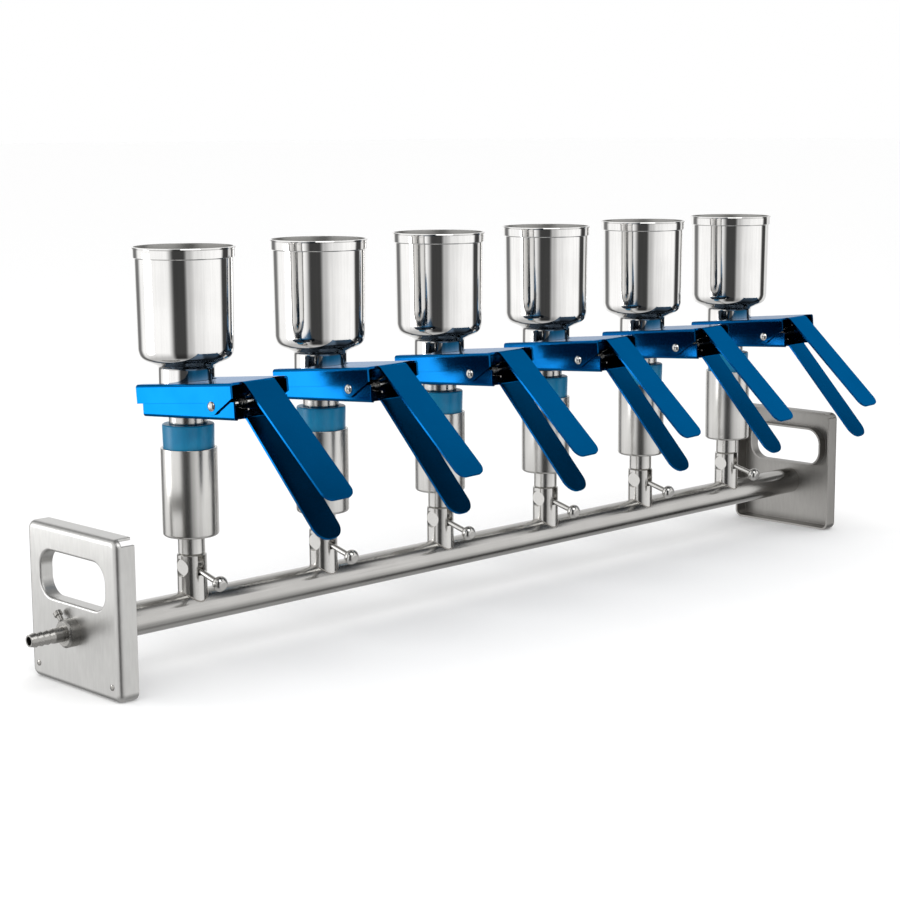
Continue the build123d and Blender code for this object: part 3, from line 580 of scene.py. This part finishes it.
def clamp_side(tilt):
    """The place of a clamp half that was drawn lying along X, with its station at the origin."""
    turn = Matrix.Rotation(math.radians(clamp_yaw - 90), 4, "Z")
    return Matrix.Translation((0, 0, grip * MM)) @ turn @ Matrix.Rotation(math.radians(-tilt), 4, "Y")


def laid_down(name, node, tilt):
    """A closed copy of the first station's clamp half, lying along X."""
    return closed_copy(name, node, (Matrix.Translation((stations[0], 0, 0)) @ clamp_side(tilt)).inverted())


def cut_off(piece, start, width):
    """Saws off what a jaw has beyond start, within a width across its middle."""
    length, depth, low = 150, 180, -40
    bpy.ops.mesh.primitive_cube_add(size=MM, location=((start + length / 2) * MM, 0, low * MM),
                                    scale=(length, width, depth))
    offcut = bpy.context.object
    bpy.context.view_layer.objects.active = piece
    cut = piece.modifiers.new("cut", "BOOLEAN")
    cut.operation = "DIFFERENCE"
    cut.solver = "EXACT"
    cut.object = offcut
    bpy.ops.object.modifier_apply(modifier="cut")
    bpy.data.objects.remove(offcut)


def jaw(node, tilt, middle, plate_end, plate_half, bend_start, bend_radius, angle, half, straight, corner):
    """A jaw whose plate is cut off between its flanges, narrowed, and bent down into a handle.
    The plate's mid-sheet lies at middle, half is half the handle's width, straight is its
    length after the bend, and corner rounds its tip."""
    piece = laid_down(node, node + "_1", tilt)
    merge_flats()
    cut_off(piece, plate_end, 2 * plate_half)
    cut_off(piece, flange_end, 90)
    drop = math.radians(angle)
    bpy.ops.object.mode_set(mode="EDIT")
    bpy.ops.mesh.select_mode(type="FACE")
    bpy.ops.mesh.select_all(action="DESELECT")
    drawn = bmesh.from_edit_mesh(piece.data)
    for face in drawn.faces:
        centre = face.calc_center_median()
        face.select_set(face.normal.x > 0.99 and abs(centre.x - plate_end * MM) < 0.1 * MM
                        and abs(centre.z - middle * MM) < clamp_sheet * MM)
    bmesh.update_edit_mesh(piece.data)
    bpy.ops.mesh.extrude_region_move(
        TRANSFORM_OT_translate={"value": ((bend_start - plate_end) * MM, 0, 0)})
    bpy.ops.transform.resize(value=(1, half / plate_half, 1), center_override=(bend_start * MM, 0, 0))
    bpy.ops.mesh.spin(steps=10, angle=-drop, center=(bend_start * MM, 0, (middle - bend_radius) * MM),
                      axis=(0, 1, 0))
    bpy.ops.mesh.extrude_region_move(TRANSFORM_OT_translate={
        "value": (straight * math.cos(drop) * MM, 0, -straight * math.sin(drop) * MM)})
    drawn = bmesh.from_edit_mesh(piece.data)
    tip = [edge for face in drawn.faces if face.select for edge in face.edges]
    bpy.ops.mesh.select_mode(type="EDGE")
    for edge in drawn.edges:
        edge.select_set(edge in tip and abs(edge.verts[0].co.y - edge.verts[1].co.y) < 0.1 * MM)
    bmesh.update_edit_mesh(piece.data)
    bpy.ops.mesh.bevel(offset=corner * MM, segments=12, affect="EDGES")
    bpy.ops.object.mode_set(mode="OBJECT")
    ease_edges(piece, 0.35, 25)
    piece.data.transform(clamp_side(tilt))
    at_stations(piece, node, anodised)


jaw("clamp_upper_jaw", upper_tilt, middle=11.4, plate_end=72.0, plate_half=26.0, bend_start=74.0,
    bend_radius=5.0, angle=49.3, half=15.3, straight=108.4, corner=8.0)
jaw("clamp_lower_jaw", lower_tilt, middle=-11.2, plate_end=70.5, plate_half=24.0, bend_start=72.8,
    bend_radius=2.5, angle=52.2, half=13.3, straight=106.6, corner=11.0)


# Clamp pins: bright riveted pins through both jaws, with a domed head at each end. The head's
# outline goes from its crown to its edge.
pin_reach, pin_drop, pin_half, pin_radius = 56.0, 4.0, 29.8, 2.5
rivet_head = ((0.05, 1.8), (1.2, 1.65), (2.3, 1.2), (3.2, 0.5), (3.6, 0))
rivet_steel = steel("rivet_steel", (0.8, 0.79, 0.77), 0.16, 700.0, 0.08, (1, 1, 1), 0.05)
pin = turned("clamp_pins_riveted", (
    *((radius, -pin_half - crown, 0) for radius, crown in rivet_head),
    (pin_radius, -pin_half, 0), (pin_radius, pin_half, 0),
    *((radius, pin_half + crown, 0) for radius, crown in reversed(rivet_head))), 48)
pin.data.transform(clamp_side(upper_tilt) @ Matrix.Translation((pin_reach * MM, 0, -pin_drop * MM))
                   @ Matrix.Rotation(math.pi / 2, 4, "X"))
join_at_stations(pin, "clamp_pins", rivet_steel)


# Clamp springs: hard-drawn wire coiled round each pin, with a short leg inside each plate. Of
# the six coils, the one that lies across the first clamp is kept, and its legs are cut short.
leg_end, clamp_reach = 68.0, 50.0
spring_steel = steel("spring_wire_steel", (0.5, 0.49, 0.47), 0.22, 900.0, 0.1, (1, 1, 1), 0.1)
spring = laid_down("clamp_springs_coiled", "clamp_springs", upper_tilt)
bpy.ops.mesh.bisect(plane_co=(0, -clamp_reach * MM, 0), plane_no=(0, 1, 0), clear_inner=True)
bpy.ops.mesh.select_all(action="SELECT")
bpy.ops.mesh.bisect(plane_co=(0, clamp_reach * MM, 0), plane_no=(0, 1, 0), clear_outer=True)
bpy.ops.mesh.select_all(action="SELECT")
bpy.ops.mesh.bisect(plane_co=(leg_end * MM, 0, 0), plane_no=(1, 0, 0), clear_outer=True, use_fill=True)
bpy.ops.object.mode_set(mode="OBJECT")
bpy.ops.object.shade_smooth_by_angle(angle=math.radians(40))
spring.select_set(False)
spring.data.transform(clamp_side(upper_tilt))
join_at_stations(spring, "clamp_springs", spring_steel)
